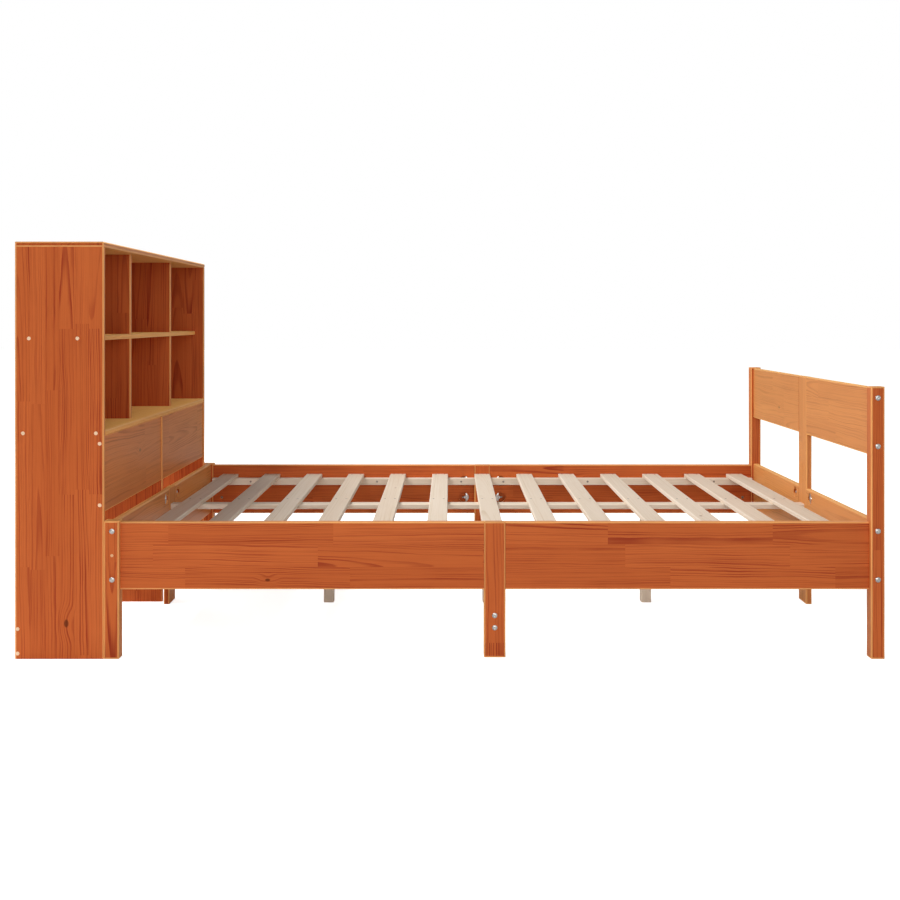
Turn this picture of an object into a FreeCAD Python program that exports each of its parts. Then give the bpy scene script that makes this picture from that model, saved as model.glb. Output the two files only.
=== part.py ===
import FreeCAD
import Part
import Sketcher
import os
import re

# Bookcase headboard bed in pine: millimetres, X along the bed (bookcase at -X), Y across it, Z up.
# The origin is on the floor under the middle of the overall box. "near" is the -Y side.

SIZES = {
    # overall
    "bed_width": 1255,
    "edge_chamfer": 2.5,
    "joint_clearance": 0.2,
    "bore_end_gap": 1,
    # bookcase carcass
    "bookcase_depth": 225,
    "bookcase_height": 1058,
    "side_panel_thickness": 13,
    "top_board_thickness": 13,
    "divider_thickness": 13,
    "shelf_thickness": 13,
    "lower_shelf_thickness": 13,
    "back_thickness": 3,
    "back_rebate_width": 6,
    "dado_depth": 4,
    "divider_setback": 32,
    "middle_bay_width": 476,
    "middle_shelf_underside": 806,
    "lower_shelf_underside": 565.5,
    # headboard panels and what stands below the lower shelf
    "headboard_panel_height": 196,
    "headboard_panel_thickness": 13,
    "headboard_recess": 4,
    "centre_support_thickness": 13,
    "bottom_rail_height": 90,
    "bottom_rail_thickness": 13,
    # screws through the side panels and the caps over them
    "middle_shelf_screw_inset": 35,
    "lower_shelf_screw_inset": 20,
    "headboard_screw_inset": 20,
    "bottom_rail_screw_inset": 14,
    "panel_screw_diameter": 4.5,
    "panel_screw_length": 38,
    "screw_sink": 1,
    "cap_diameter": 9.5,
    "cap_height": 1,
    # legs and posts
    "head_leg_depth": 38,
    "head_leg_width": 35,
    "foot_post_depth": 35,
    "foot_post_width": 35,
    "foot_post_rise": 3,
    "middle_post_width": 80,
    # boards across the two ends
    "end_board_underside": 175,
    "end_board_height": 174,
    "end_board_thickness": 17,
    "end_board_setback": 9,
    "foot_panel_underside": 513,
    "foot_panel_height": 174,
    # side rails and their middle legs
    "rail_length": 926,
    "side_rail_underside": 173,
    "side_rail_height": 172,
    "side_rail_thickness": 20,
    "side_rail_setback": 15,
    "side_leg_width": 55,
    "leg_block_thickness": 25,
    # slats and what carries them
    "slat_seat_height": 300,
    "batten_height": 24,
    "batten_thickness": 20,
    "slat_width": 55,
    "slat_thickness": 13,
    "slat_end_gap": 1,
    "slat_to_end_board": 42.8,
    "slat_chamfer": 1.5,
    "slats_each_way": 6,
    "beam_width": 40,
    "beam_height": 16,
    "beam_chamfer": 3,
    "centre_leg_length_way": 30,
    "centre_leg_width": 35,
    "centre_leg_from_beam_end": 479.5,
    # bolts with cross nuts
    "bolt_diameter": 6,
    "bolt_hole_clearance": 1,
    "bolt_head_diameter": 14,
    "bolt_head_height": 2.5,
    "bolt_tail": 3,
    "cross_nut_diameter": 10,
    "cross_nut_length": 12,
    "cross_nut_clearance": 0.4,
    "cross_nut_distance": 30,
    "end_bolt_inset": 25.5,
    "rail_bolt_spacing": 59,
    "counterbore_depth": 4,
    "counterbore_diameter": 16,
    "leg_bolt_height": 91,
    "leg_bolt_spacing": 31,
    "sleeve_nut_diameter": 8,
    "sleeve_nut_length": 16,
    "beam_bolt_reach": 45,
    # half moon fittings through the middle legs
    "fitting_recess_diameter": 35,
    "fitting_recess_depth": 12,
    "fitting_distance": 37,
    "half_moon_clearance": 0.4,
    "half_moon_offset": 6,
    "half_moon_thickness": 9,
    "rod_tail": 7,
    # wooden dowels
    "dowel_diameter": 8,
    "dowel_reach": 28,
    "dowel_spacing": 100,
    "small_dowel_diameter": 6,
    "small_dowel_reach": 20,
    "small_dowel_inset": 45,
    "headboard_dowel_spacing": 110,
    "bed_dowel_low_height": 90,
    "bed_dowel_high_height": 270,
}

PLACES = {
    # along the bed
    "overall_length": "bookcase_depth + head_leg_depth + 2 * rail_length + side_leg_width + foot_post_depth",
    "x_back": "-overall_length / 2",
    "x_front": "x_back + bookcase_depth",
    "x_rail_head": "x_front + head_leg_depth",
    "x_leg": "x_rail_head + rail_length",
    "x_middle": "x_leg + side_leg_width / 2",
    "x_rail_foot": "x_leg + side_leg_width",
    "x_post": "x_rail_foot + rail_length",
    "x_end": "x_post + foot_post_depth",
    "x_head_board": "x_rail_head - end_board_setback - end_board_thickness",
    "x_foot_board": "x_post + end_board_setback",
    "x_carcass": "x_back + back_thickness",
    "x_headboard": "x_front - headboard_recess - headboard_panel_thickness",
    # across the bed
    "y_near": "-bed_width / 2",
    "y_side_inner": "y_near + side_panel_thickness",
    "y_rail_outer": "y_near + side_rail_setback",
    "y_rail_inner": "y_rail_outer + side_rail_thickness",
    "y_head_board": "y_near + head_leg_width",
    "y_foot_board": "y_near + foot_post_width",
    "y_post": "-middle_post_width / 2",
    "y_support": "-centre_support_thickness / 2",
    "y_divider": "-middle_bay_width / 2 - divider_thickness",
    # heights
    "z_top_board": "bookcase_height - top_board_thickness",
    "z_lower_shelf_top": "lower_shelf_underside + lower_shelf_thickness",
    "z_headboard": "lower_shelf_underside - headboard_panel_height",
    "z_end_board_top": "end_board_underside + end_board_height",
    "z_rail_top": "side_rail_underside + side_rail_height",
    "z_rail_middle": "side_rail_underside + side_rail_height / 2",
    "z_foot_panel_top": "foot_panel_underside + foot_panel_height",
    "foot_post_height": "z_foot_panel_top + foot_post_rise",
    "z_beam": "slat_seat_height - beam_height",
    # lengths and holes that several pieces share
    "carcass_depth": "bookcase_depth - back_thickness",
    "divider_depth": "carcass_depth - divider_setback",
    "side_panel_gap": "bed_width - 2 * side_panel_thickness",
    "head_board_length": "y_post - y_head_board",
    "foot_board_length": "y_post - y_foot_board",
    "slat_length": "-2 * y_rail_inner - 2 * slat_end_gap",
    "beam_length": "x_foot_board - x_head_board - end_board_thickness",
    "slat_pitch": "(beam_length / 2 - slat_to_end_board - slat_width / 2) / slats_each_way",
    "centre_leg_spacing": "beam_length / 2 - centre_leg_from_beam_end",
    "bolt_hole": "bolt_diameter + bolt_hole_clearance",
    "thread_hole": "bolt_diameter + joint_clearance",
    "cross_nut_hole": "cross_nut_diameter + cross_nut_clearance",
    "sleeve_hole": "sleeve_nut_diameter + cross_nut_clearance",
    "dowel_hole": "dowel_diameter + joint_clearance",
    "small_dowel_hole": "small_dowel_diameter + joint_clearance",
    "screw_hole": "panel_screw_diameter + joint_clearance",
    "screw_reach": "screw_sink + panel_screw_length + bore_end_gap - side_panel_thickness",
    "nut_bore_reach": "cross_nut_distance + cross_nut_diameter / 2 + bolt_tail",
    "rod_inset": "fitting_recess_depth / 2",
    "rail_bolt_inset": "side_rail_thickness / 2",
}


# Round bars and bores are prisms of so many sides on the true radius, and a bar is turned like its
# bore, so that it clears it all round.
BORE_SIDES = 8
SCREW_SIDES = 6
RECESS_SIDES = 20
MOON_SIDES = 16


def tied(text):
    """The expression with each word pointed at its sheet."""
    def full(match):
        word = match.group(0)
        return ("Places." if word in PLACES else "Dims.") + word
    return re.sub(r"[a-z][a-z_]+", full, text)


doc = FreeCAD.newDocument("bookcase_headboard_bed")
dims = doc.addObject("Spreadsheet::Sheet", "Dims")
for row, (alias, value) in enumerate(SIZES.items(), start=1):
    dims.set("A%d" % row, alias)
    dims.set("B%d" % row, str(value))
    dims.setAlias("B%d" % row, alias)
doc.recompute()
places = doc.addObject("Spreadsheet::Sheet", "Places")
for row, (alias, formula) in enumerate(PLACES.items(), start=1):
    places.set("A%d" % row, alias)
    places.setAlias("B%d" % row, alias)
for row, (alias, formula) in enumerate(PLACES.items(), start=1):
    places.set("B%d" % row, "=" + tied(formula))
doc.recompute()

# Each face of a board: the plane it is drawn on, the axis it faces along, and where a cut of some
# depth into the board starts along the plane's normal.
FACES = {
    "under": ("XY_Plane", "z", "0"),
    "top": ("XY_Plane", "z", "(%(extent)s) - (%(depth)s)"),
    "near": ("XZ_Plane", "y", "-(%(depth)s)"),
    "far": ("XZ_Plane", "y", "-(%(extent)s)"),
    "head": ("YZ_Plane", "x", "0"),
    "foot": ("YZ_Plane", "x", "(%(extent)s) - (%(depth)s)"),
}

extents = {}
nodes = []


def origin_plane(body, role):
    for feature in body.Origin.OriginFeatures:
        if feature.Role == role:
            return feature
    raise RuntimeError("no plane " + role)


def attach(thing, body, role):
    thing.AttachmentSupport = [(origin_plane(body, role), "")]
    thing.MapMode = "FlatFace"


def bind(sketch, constraint, expression):
    """Adds a constraint and ties its value to an expression."""
    index = sketch.addConstraint(constraint)
    sketch.renameConstraint(index, "tied%d" % index)
    sketch.setExpression("Constraints.tied%d" % index, tied(expression))


def draw_rectangle(sketch, width, height, left=None, low=None):
    """A rectangle from the sketch's origin, or from a point left and low of it."""
    corners = [FreeCAD.Vector(u, v, 0) for u, v in ((1, 1), (2, 1), (2, 2), (1, 2))]
    first = sketch.GeometryCount
    for index in range(4):
        sketch.addGeometry(Part.LineSegment(corners[index], corners[(index + 1) % 4]), False)
    for index in range(4):
        following = first + (index + 1) % 4
        sketch.addConstraint(Sketcher.Constraint("Coincident", first + index, 2, following, 1))
    for index, kind in enumerate(("Horizontal", "Vertical", "Horizontal", "Vertical")):
        sketch.addConstraint(Sketcher.Constraint(kind, first + index))
    if left is None:
        sketch.addConstraint(Sketcher.Constraint("PointOnObject", first, 1, -2))
    else:
        bind(sketch, Sketcher.Constraint("DistanceX", -1, 1, first, 1, 1.0), left)
    if low is None:
        sketch.addConstraint(Sketcher.Constraint("PointOnObject", first, 1, -1))
    else:
        bind(sketch, Sketcher.Constraint("DistanceY", -1, 1, first, 1, 1.0), low)
    bind(sketch, Sketcher.Constraint("DistanceX", first, 1, first, 2, 1.0), width)
    bind(sketch, Sketcher.Constraint("DistanceY", first + 1, 1, first + 1, 2, 1.0), height)


def place(thing, corner):
    for axis, expression in zip("xyz", corner):
        thing.setExpression("Placement.Base." + axis, tied(expression))


def board(label, corner, extent):
    """A board as a body: a rectangle on its under face, padded to its height."""
    body = doc.addObject("PartDesign::Body", label)
    body.Label = label
    sketch = body.newObject("Sketcher::SketchObject", "Sketch")
    attach(sketch, body, "XY_Plane")
    draw_rectangle(sketch, extent[0], extent[1])
    pad = body.newObject("PartDesign::Pad", "Pad")
    pad.Profile = sketch
    pad.setExpression("Length", tied(extent[2]))
    body.Tip = pad
    place(body, corner)
    extents[body.Name] = dict(zip("xyz", extent))
    doc.recompute()
    nodes.append(body)
    return body


def ease(body, axes, chamfer="edge_chamfer", side=None):
    """Breaks the edges that run along the axes, all of them or those on one side of the board."""
    base = body.Tip
    box = base.Shape.BoundBox
    names = []
    for number, edge in enumerate(base.Shape.Edges, start=1):
        ends = [vertex.Point for vertex in edge.Vertexes]
        run = ends[1] - ends[0]
        middle = edge.CenterOfMass
        along = [axis for axis in "xyz" if abs(getattr(run, axis)) > 1e-6]
        on_side = side is None or abs(getattr(middle, side) - getattr(box, side.upper() + "Max")) < 1e-6
        if len(along) == 1 and along[0] in axes and on_side:
            names.append("Edge%d" % number)
    bevel = body.newObject("PartDesign::Chamfer", "Chamfer")
    bevel.Base = (base, names)
    bevel.setExpression("Size", tied(chamfer))
    body.Tip = bevel
    doc.recompute()


def check_cuts(body, before, cuts):
    """Each cut in turn has to take something off the board."""
    for cut in cuts:
        if cut.Shape.isNull() or cut.Shape.Volume >= before:
            raise RuntimeError("a cut in %s removes nothing" % body.Label)
        before = cut.Shape.Volume


def bore(body, face, centres, diameter, depth=None, sides=BORE_SIDES):
    """Holes in a face at points from the board's lower corner, right through where depth is None."""
    role, axis, start = FACES[face]
    extent = extents[body.Name][axis]
    reach = depth or extent
    before = body.Tip.Shape.Volume
    holes = []
    for across, up in centres:
        hole = body.newObject("PartDesign::SubtractivePrism", "Bore")
        attach(hole, body, role)
        hole.Polygon = sides
        hole.Refine = False
        hole.setExpression("Circumradius", tied("(%s) / 2" % diameter))
        hole.setExpression("Height", tied(reach))
        offset = (across, up, start % {"extent": extent, "depth": reach})
        for letter, expression in zip("xyz", offset):
            hole.setExpression("AttachmentOffset.Base." + letter, tied(expression))
        holes.append(hole)
    doc.recompute()
    check_cuts(body, before, holes)


def notch(body, face, left, low, width, height, depth=None):
    """A rectangular cut in a face, from a point given from the board's lower corner."""
    role, axis, start = FACES[face]
    extent = extents[body.Name][axis]
    reach = depth or extent
    before = body.Tip.Shape.Volume
    sketch = body.newObject("Sketcher::SketchObject", "Sketch")
    attach(sketch, body, role)
    draw_rectangle(sketch, width, height, left, low)
    sketch.setExpression("AttachmentOffset.Base.z", tied(start % {"extent": extent, "depth": reach}))
    cut = body.newObject("PartDesign::Pocket", "Pocket")
    cut.Profile = sketch
    cut.Reversed = True
    cut.setExpression("Length", tied(reach))
    body.Tip = cut
    doc.recompute()
    check_cuts(body, before, [cut])


def mirrored(label, source, keep=True, plane="y"):
    """The twin of a piece: across the bed's middle plane, or about the middle legs along it."""
    twin = doc.addObject("Part::Mirroring", label)
    twin.Label = label
    twin.Source = source
    twin.Normal = (0, 1, 0) if plane == "y" else (1, 0, 0)
    if plane == "x":
        twin.setExpression("Base.x", tied("x_middle"))
    if keep:
        nodes.append(twin)
    return twin


# ---------------------------------------------------------------- bookcase carcass

side = board("bookcase_side_near", ("x_back", "y_near", "0"),
             ("bookcase_depth", "side_panel_thickness", "z_top_board"))
ease(side, "z", side="x")
notch(side, "head", "side_panel_thickness - back_rebate_width", "lower_shelf_underside",
      "back_rebate_width", "z_top_board - lower_shelf_underside", "back_thickness")
cap_points = [
    ("bookcase_depth - divider_setback - middle_shelf_screw_inset",
     "middle_shelf_underside + shelf_thickness / 2"),
    ("middle_shelf_screw_inset", "middle_shelf_underside + shelf_thickness / 2"),
    ("lower_shelf_screw_inset", "lower_shelf_underside + lower_shelf_thickness / 2"),
    ("bookcase_depth - lower_shelf_screw_inset", "lower_shelf_underside + lower_shelf_thickness / 2"),
    ("bookcase_depth - headboard_recess - headboard_panel_thickness / 2",
     "lower_shelf_underside - headboard_screw_inset"),
    ("bookcase_depth - headboard_recess - headboard_panel_thickness / 2",
     "z_headboard + headboard_screw_inset"),
    ("bottom_rail_thickness / 2", "bottom_rail_height - bottom_rail_screw_inset"),
    ("bottom_rail_thickness / 2", "bottom_rail_screw_inset"),
]
bore(side, "near", cap_points, "screw_hole", sides=SCREW_SIDES)
top_dowel_points = [
    ("small_dowel_inset", "side_panel_thickness / 2"),
    ("bookcase_depth - small_dowel_inset", "side_panel_thickness / 2"),
]
bore(side, "top", top_dowel_points, "small_dowel_hole", "small_dowel_reach")
bed_dowel_points = [
    ("side_panel_thickness / 2", "bed_dowel_low_height"),
    ("side_panel_thickness / 2", "bed_dowel_high_height"),
]
bore(side, "foot", bed_dowel_points, "small_dowel_hole", "small_dowel_reach")
mirrored("bookcase_side_far", side)

# The top board lies over the side panels; its rear rebate takes the back and two stopped
# grooves below take the dividers.
top = board("bookcase_top", ("x_back", "y_near", "z_top_board"),
            ("bookcase_depth", "bed_width", "top_board_thickness"))
ease(top, "y", side="x")
notch(top, "under", "0", "side_panel_thickness - back_rebate_width", "back_thickness",
      "bed_width - 2 * (side_panel_thickness - back_rebate_width)", "back_rebate_width")
near_groove = "bed_width / 2 + y_divider - joint_clearance / 2"
far_groove = "bed_width / 2 + middle_bay_width / 2 - joint_clearance / 2"
for low in (near_groove, far_groove):
    notch(top, "under", "back_thickness", low, "divider_depth + joint_clearance",
          "divider_thickness + joint_clearance", "dado_depth + joint_clearance / 2")
bore(top, "under",
     [(along, half + "side_panel_thickness / 2")
      for along in ("small_dowel_inset", "bookcase_depth - small_dowel_inset")
      for half in ("", "bed_width - ")],
     "small_dowel_hole", "top_board_thickness / 2")

# The lower shelf takes the dividers in stopped grooves.
lower = board("bookcase_lower_shelf", ("x_carcass", "y_side_inner", "lower_shelf_underside"),
              ("carcass_depth", "side_panel_gap", "lower_shelf_thickness"))
ease(lower, "y", side="x")
for low in ("side_panel_gap / 2 + y_divider - joint_clearance / 2",
            "side_panel_gap / 2 + middle_bay_width / 2 - joint_clearance / 2"):
    notch(lower, "top", "0", low, "divider_depth + joint_clearance",
          "divider_thickness + joint_clearance", "dado_depth + joint_clearance / 2")
support_dowel_points = [
    ("small_dowel_inset", "side_panel_gap / 2"),
    ("carcass_depth - small_dowel_inset", "side_panel_gap / 2"),
]
bore(lower, "under", support_dowel_points, "small_dowel_hole", "lower_shelf_thickness / 2")
shelf_screw_points = [
    ("lower_shelf_screw_inset - back_thickness", "lower_shelf_thickness / 2"),
    ("carcass_depth - lower_shelf_screw_inset", "lower_shelf_thickness / 2"),
]
for face in ("near", "far"):
    bore(lower, face, shelf_screw_points, "screw_hole", "screw_reach", SCREW_SIDES)

# The middle shelf and the two dividers cross in half laps: the shelf is slotted from the rear,
# each divider from the front, so that the shelf's front edge runs through.
shelf = board("bookcase_middle_shelf", ("x_carcass", "y_side_inner", "middle_shelf_underside"),
              ("divider_depth", "side_panel_gap", "shelf_thickness"))
ease(shelf, "y", side="x")
for low in ("side_panel_gap / 2 + y_divider - joint_clearance / 2",
            "side_panel_gap / 2 + middle_bay_width / 2 - joint_clearance / 2"):
    notch(shelf, "top", "0", low, "divider_depth / 2 + joint_clearance / 2",
          "divider_thickness + joint_clearance")
middle_screw_points = [
    ("middle_shelf_screw_inset - back_thickness", "shelf_thickness / 2"),
    ("divider_depth - middle_shelf_screw_inset", "shelf_thickness / 2"),
]
for face in ("near", "far"):
    bore(shelf, face, middle_screw_points, "screw_hole", "screw_reach", SCREW_SIDES)

divider = board("bookcase_divider_near", ("x_carcass", "y_divider", "z_lower_shelf_top - dado_depth"),
                ("divider_depth", "divider_thickness",
                 "z_top_board - z_lower_shelf_top + 2 * dado_depth"))
ease(divider, "z", side="x")
notch(divider, "near", "divider_depth / 2 - joint_clearance / 2",
      "middle_shelf_underside - z_lower_shelf_top + dado_depth - joint_clearance / 2",
      "divider_depth", "shelf_thickness + joint_clearance")
mirrored("bookcase_divider_far", divider)

back = board("bookcase_back",
             ("x_back", "y_side_inner - back_rebate_width + joint_clearance", "lower_shelf_underside"),
             ("back_thickness", "side_panel_gap + 2 * back_rebate_width - 2 * joint_clearance",
              "z_top_board - lower_shelf_underside + back_rebate_width - joint_clearance"))

# Below the lower shelf: two headboard panels between the side panels and a full-depth centre
# support, which is notched at the rear over the bottom rail.
panel = board("headboard_panel_near", ("x_headboard", "y_side_inner", "z_headboard"),
              ("headboard_panel_thickness", "y_support - y_side_inner", "headboard_panel_height"))
ease(panel, "y", side="x")
bore(panel, "near",
     [("headboard_panel_thickness / 2", "headboard_screw_inset"),
      ("headboard_panel_thickness / 2", "headboard_panel_height - headboard_screw_inset")],
     "screw_hole", "screw_reach", SCREW_SIDES)
headboard_dowel_points = [
    ("headboard_panel_thickness / 2", "headboard_panel_height / 2 - headboard_dowel_spacing / 2"),
    ("headboard_panel_thickness / 2", "headboard_panel_height / 2 + headboard_dowel_spacing / 2"),
]
bore(panel, "far", headboard_dowel_points, "small_dowel_hole", "small_dowel_reach")
mirrored("headboard_panel_far", panel)

support = board("bookcase_centre_support", ("x_carcass", "y_support", "0"),
                ("carcass_depth", "centre_support_thickness", "lower_shelf_underside"))
ease(support, "z", side="x")
notch(support, "near", "0", "0", "bottom_rail_thickness - back_thickness + joint_clearance",
      "bottom_rail_height + joint_clearance")
bore(support, "near",
     [("x_headboard - x_carcass + headboard_panel_thickness / 2", "z_headboard + " + up)
      for across, up in headboard_dowel_points],
     "small_dowel_hole")
bore(support, "top",
     [("small_dowel_inset", "centre_support_thickness / 2"),
      ("carcass_depth - small_dowel_inset", "centre_support_thickness / 2")],
     "small_dowel_hole", "small_dowel_reach")

low_rail = board("bookcase_bottom_rail", ("x_back", "y_side_inner", "0"),
                 ("bottom_rail_thickness", "side_panel_gap", "bottom_rail_height"))
ease(low_rail, "y", side="z")
for face in ("near", "far"):
    bore(low_rail, face,
         [("bottom_rail_thickness / 2", "bottom_rail_screw_inset"),
          ("bottom_rail_thickness / 2", "bottom_rail_height - bottom_rail_screw_inset")],
         "screw_hole", "screw_reach", SCREW_SIDES)

# ---------------------------------------------------------------- head and foot ends

end_bolt_heights = ("end_board_underside + end_bolt_inset", "z_end_board_top - end_bolt_inset")
panel_bolt_heights = ("foot_panel_underside + end_bolt_inset", "z_foot_panel_top - end_bolt_inset")
rail_bolt_heights = ("z_rail_middle - rail_bolt_spacing / 2", "z_rail_middle + rail_bolt_spacing / 2")
board_middle = "end_board_underside + end_board_height / 2"
rail_bolt_y = "y_rail_outer - y_near + rail_bolt_inset"

leg = board("head_leg_near", ("x_front", "y_near", "0"),
            ("head_leg_depth", "head_leg_width", "z_end_board_top"))
ease(leg, "z")
end_bolt_x = "x_head_board - x_front + end_board_thickness / 2"
bore(leg, "near", [(end_bolt_x, height) for height in end_bolt_heights], "bolt_hole")
bore(leg, "near", [(end_bolt_x, board_middle)], "dowel_hole")
bore(leg, "head", [(rail_bolt_y, height) for height in rail_bolt_heights], "bolt_hole")
bore(leg, "head", [(rail_bolt_y, height) for height in rail_bolt_heights],
     "counterbore_diameter", "counterbore_depth")
bore(leg, "head", bed_dowel_points, "small_dowel_hole", "small_dowel_reach")
mirrored("head_leg_far", leg)

post = board("foot_post_near", ("x_post", "y_near", "0"),
             ("foot_post_depth", "foot_post_width", "foot_post_height"))
ease(post, "z")
post_bolt_x = "x_foot_board - x_post + end_board_thickness / 2"
bore(post, "near", [(post_bolt_x, height) for height in end_bolt_heights + panel_bolt_heights],
     "bolt_hole")
bore(post, "foot", [(rail_bolt_y, height) for height in rail_bolt_heights], "bolt_hole")
bore(post, "foot", [(rail_bolt_y, height) for height in rail_bolt_heights],
     "counterbore_diameter", "counterbore_depth")
mirrored("foot_post_far", post)

rod_x_head = "end_board_thickness - rod_inset"
middle = board("head_leg_middle", ("x_head_board", "y_post", "0"),
               ("end_board_thickness", "middle_post_width", "z_end_board_top"))
ease(middle, "z")
bore(middle, "near", [(rod_x_head, height) for height in end_bolt_heights], "bolt_hole")
bore(middle, "head", [("middle_post_width / 2", "z_beam + beam_height / 2")], "bolt_hole")

middle = board("foot_post_middle", ("x_foot_board", "y_post", "0"),
               ("end_board_thickness", "middle_post_width", "z_foot_panel_top"))
ease(middle, "z")
bore(middle, "near", [("rod_inset", height) for height in end_bolt_heights], "bolt_hole")
bore(middle, "foot", [("middle_post_width / 2", "z_beam + beam_height / 2")], "bolt_hole")
panel_dowel_heights = (
    "foot_panel_underside + foot_panel_height / 2 - dowel_spacing / 2",
    "foot_panel_underside + foot_panel_height / 2 + dowel_spacing / 2",
)
for face in ("near", "far"):
    bore(middle, face, [("end_board_thickness / 2", height) for height in panel_dowel_heights],
         "dowel_hole", "dowel_reach")


def end_board(label, x, y, underside, length, height, fittings, inner):
    """A board across one end of the bed, bolted to its corner post with cross nuts that are
    let in from the outside, and drawn to the middle post by half moons let in from the inside."""
    piece = board(label, (x, y, underside), ("end_board_thickness", length, height))
    ease(piece, "y")
    outer = "head" if inner == "foot" else "foot"
    rows = ("end_bolt_inset", height + " - end_bolt_inset")
    bore(piece, "near", [("end_board_thickness / 2", row) for row in rows],
         "bolt_hole", "nut_bore_reach + bolt_tail")
    bore(piece, outer, [("cross_nut_distance", row) for row in rows],
         "cross_nut_hole", "end_board_thickness / 2 + cross_nut_length / 2")
    if fittings:
        rod = "rod_inset" if inner == "head" else rod_x_head
        bore(piece, inner, [(length + " - fitting_distance", row) for row in rows],
             "fitting_recess_diameter", "fitting_recess_depth", RECESS_SIDES)
        bore(piece, "far", [(rod, row) for row in rows], "bolt_hole", "fitting_distance")
    return piece


piece = end_board("head_board_near", "x_head_board", "y_head_board", "end_board_underside",
                  "head_board_length", "end_board_height", True, "foot")
bore(piece, "near", [("end_board_thickness / 2", "end_board_height / 2")],
     "dowel_hole", "dowel_reach")
mirrored("head_board_far", piece)
piece = end_board("foot_board_near", "x_foot_board", "y_foot_board", "end_board_underside",
                  "foot_board_length", "end_board_height", True, "head")
mirrored("foot_board_far", piece)
piece = end_board("foot_panel_near", "x_foot_board", "y_foot_board", "foot_panel_underside",
                  "foot_board_length", "foot_panel_height", False, "head")
bore(piece, "far",
     [("end_board_thickness / 2", "foot_panel_height / 2 " + shift)
      for shift in ("- dowel_spacing / 2", "+ dowel_spacing / 2")],
     "dowel_hole", "dowel_reach")
mirrored("foot_panel_far", piece)

# ---------------------------------------------------------------- side rails and middle legs

rail = board("side_rail_near_head", ("x_rail_head", "y_rail_outer", "side_rail_underside"),
             ("rail_length", "side_rail_thickness", "side_rail_height"))
ease(rail, "x")
rail_rows = ("side_rail_height / 2 - rail_bolt_spacing / 2",
             "side_rail_height / 2 + rail_bolt_spacing / 2")
bore(rail, "head", [("rail_bolt_inset", row) for row in rail_rows],
     "bolt_hole", "nut_bore_reach + bolt_tail")
bore(rail, "far", [("cross_nut_distance", row) for row in rail_rows],
     "cross_nut_hole", "side_rail_thickness / 2 + cross_nut_length / 2")
bore(rail, "far", [("rail_length - fitting_distance", row) for row in rail_rows],
     "fitting_recess_diameter", "fitting_recess_depth", RECESS_SIDES)
bore(rail, "foot", [("side_rail_thickness - rod_inset", row) for row in rail_rows],
     "bolt_hole", "fitting_distance")
foot_rail = mirrored("side_rail_near_foot", rail, plane="x")
mirrored("side_rail_far_head", rail)
mirrored("side_rail_far_foot", foot_rail)

leg_bolt_heights = ("leg_bolt_height - leg_bolt_spacing / 2", "leg_bolt_height + leg_bolt_spacing / 2")
side_leg = board("side_leg_near", ("x_leg", "y_rail_outer", "0"),
                 ("side_leg_width", "side_rail_thickness", "z_rail_top"))
ease(side_leg, "z")
bore(side_leg, "head", [("side_rail_thickness - rod_inset", height) for height in rail_bolt_heights],
     "bolt_hole")
bore(side_leg, "near", [("side_leg_width / 2", height) for height in leg_bolt_heights], "bolt_hole")
mirrored("side_leg_far", side_leg)

# A block doubles the middle leg on the inside, up to the underside of the slat battens.
block = board("leg_block_near", ("x_leg", "y_rail_inner", "0"),
              ("side_leg_width", "leg_block_thickness", "slat_seat_height - batten_height"))
ease(block, "z")
bore(block, "near", [("side_leg_width / 2", height) for height in leg_bolt_heights], "bolt_hole")
bore(block, "far", [("side_leg_width / 2", height) for height in leg_bolt_heights],
     "sleeve_hole", "sleeve_nut_length")
mirrored("leg_block_far", block)

# ---------------------------------------------------------------- slats, battens and centre beam

batten = board("slat_batten_near_head",
               ("x_rail_head", "y_rail_inner", "slat_seat_height - batten_height"),
               ("x_middle - x_rail_head", "batten_thickness", "batten_height"))
ease(batten, "x", "slat_chamfer")
foot_batten = mirrored("slat_batten_near_foot", batten, plane="x")
mirrored("slat_batten_far_head", batten)
mirrored("slat_batten_far_foot", foot_batten)

beam = board("centre_beam",
             ("x_head_board + end_board_thickness", "-beam_width / 2", "z_beam"),
             ("beam_length", "beam_width", "beam_height"))
ease(beam, "x", "beam_chamfer")
for face in ("head", "foot"):
    bore(beam, face, [("beam_width / 2", "beam_height / 2")], "bolt_hole",
         "beam_bolt_reach + 2 * bolt_tail")

for name, shift in (("head", "- centre_leg_spacing"), ("middle", ""), ("foot", "+ centre_leg_spacing")):
    stand = board("centre_leg_" + name,
                  ("x_middle %s - centre_leg_length_way / 2" % shift, "-centre_leg_width / 2", "0"),
                  ("centre_leg_length_way", "centre_leg_width", "z_beam"))
    ease(stand, "z")

each_way = int(SIZES["slats_each_way"])
for number in range(2 * each_way + 1):
    step = number - each_way
    slat = board("slat_%02d" % (number + 1),
                 ("x_middle + (%d) * slat_pitch - slat_width / 2" % step,
                  "y_rail_inner + slat_end_gap", "slat_seat_height"),
                 ("slat_width", "slat_length", "slat_thickness"))
    ease(slat, "y", "slat_chamfer")

# ---------------------------------------------------------------- hardware

TURNS = {
    "+x": FreeCAD.Rotation(FreeCAD.Vector(0, 1, 0), 90),
    "-x": FreeCAD.Rotation(FreeCAD.Vector(0, 1, 0), -90),
    "+y": FreeCAD.Rotation(FreeCAD.Vector(1, 0, 0), -90),
    "-y": FreeCAD.Rotation(FreeCAD.Vector(1, 0, 0), 90),
    "+z": FreeCAD.Rotation(),
}


def bar(start, way, diameter, length, label="Shank", sides=BORE_SIDES):
    """A round bar or disc from its start point along one way of an axis."""
    piece = doc.addObject("Part::Prism", label)
    piece.Polygon = sides
    piece.Placement = FreeCAD.Placement(FreeCAD.Vector(), TURNS[way])
    piece.setExpression("Circumradius", tied("(" + diameter + ") / 2"))
    piece.setExpression("Height", tied(length))
    place(piece, start)
    return piece


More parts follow.
